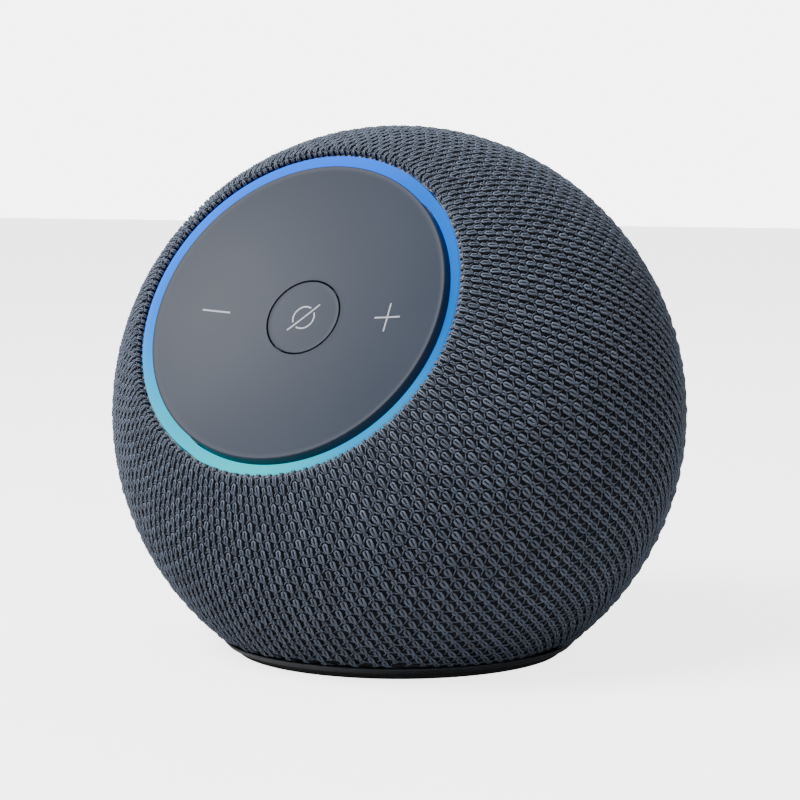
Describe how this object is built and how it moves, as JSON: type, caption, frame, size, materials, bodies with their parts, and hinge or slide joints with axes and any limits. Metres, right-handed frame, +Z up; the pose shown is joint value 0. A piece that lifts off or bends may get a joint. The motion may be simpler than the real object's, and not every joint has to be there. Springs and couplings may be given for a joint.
{
  "type": "smart speaker",
  "caption": "Ball-shaped smart speaker with a knitted cover, a dished control panel with a mute button, a light ring round it, and a flat base with a power inlet at the rear.",
  "frame": {"origin": "on the table, under the middle of the ball", "axes": "+Z up, -Y to the front, where the control panel faces, +X to the right when looking at the front"},
  "size_m": [0.1086, 0.1082, 0.0992],
  "materials": {
    "knit_fabric": "knitted, matt",
    "panel_plastic": "satin",
    "light_guide": "diffusing, lit",
    "dark_plastic": "fine texture",
    "inner_plastic": "plain moulded",
    "rubber": "matt",
    "steel": "zinc plated",
    "aluminium": "plain",
    "ferrite": "matt",
    "cone_paper": "pressed pulp",
    "spider_cloth": "stiffened cloth",
    "copper": "bare copper",
    "circuit_board": "solder mask",
    "lens": "moulded"
  },
  "bodies": {
    "root": {"fabric_sleeve": "knit_fabric", "control_panel": "panel_plastic", "light_ring": "light_guide", "base_cover": "dark_plastic", "panel_frame": "dark_plastic", "inlet_bezel": "dark_plastic", "tweeter_faceplate": "dark_plastic", "front_housing": "inner_plastic", "rear_housing": "inner_plastic", "baffle": "inner_plastic", "sound_diffuser": "inner_plastic", "switch_body": "inner_plastic", "dc_jack": "inner_plastic", "foot_ring": "rubber", "woofer_gasket": "rubber", "woofer_surround": "rubber", "power_lead": "rubber", "woofer_lead": "rubber", "tweeter_lead": "rubber", "woofer_basket": "steel", "woofer_top_plate": "steel", "woofer_back_plate": "steel", "tweeter_body": "steel", "shield_can": "steel", "base_screw_1": "steel", "base_screw_2": "steel", "base_screw_3": "steel", "base_screw_4": "steel", "panel_screw_1": "steel", "panel_screw_2": "steel", "panel_screw_3": "steel", "woofer_screw_1": "steel", "woofer_screw_2": "steel", "woofer_screw_3": "steel", "woofer_screw_4": "steel", "heat_spreader": "aluminium", "microphone_left": "aluminium", "microphone_right": "aluminium", "woofer_magnet": "ferrite", "woofer_spider": "spider_cloth", "touch_pad_minus": "copper", "touch_pad_plus": "copper", "board_flex": "copper", "control_board": "circuit_board", "main_board": "circuit_board", "power_board": "circuit_board", "antenna_left": "circuit_board", "antenna_right": "circuit_board", "ring_led_1": "lens", "ring_led_2": "lens", "ring_led_3": "lens", "ring_led_4": "lens", "ring_led_5": "lens", "ring_led_6": "lens"},
    "mute_button": {"mute_button": "panel_plastic"},
    "switch_plunger": {"switch_plunger": "lens"},
    "woofer_cone": {"woofer_cone": "cone_paper", "voice_coil": "copper", "woofer_dust_cap": "cone_paper"},
    "tweeter_dome": {"tweeter_dome": "aluminium"}
  },
  "joints": [
    {"name": "mute_button_press", "type": "slide", "parent": "root", "child": "mute_button", "axis": [0, 0.8643, -0.503], "range_m": [0, 0.0004], "stiffness_N_per_m": 2500, "springref_m": -0.0002},
    {"name": "switch_plunger_press", "type": "slide", "parent": "root", "child": "switch_plunger", "axis": [0, 0.8643, -0.503], "range_m": [0, 0.0004]},
    {"name": "woofer_stroke", "type": "slide", "parent": "root", "child": "woofer_cone", "axis": [0, 0, 1], "range_m": [-0.003, 0.003], "stiffness_N_per_m": 1000, "deforming": ["woofer_surround", "woofer_spider"]},
    {"name": "tweeter_stroke", "type": "slide", "parent": "root", "child": "tweeter_dome", "axis": [0, -0.8944, -0.4473], "range_m": [-0.0002, 0.0002], "stiffness_N_per_m": 1000}
  ],
  "couplings": [
    {"joint": "switch_plunger_press", "follows": "mute_button_press", "ratio": 1}
  ]
}
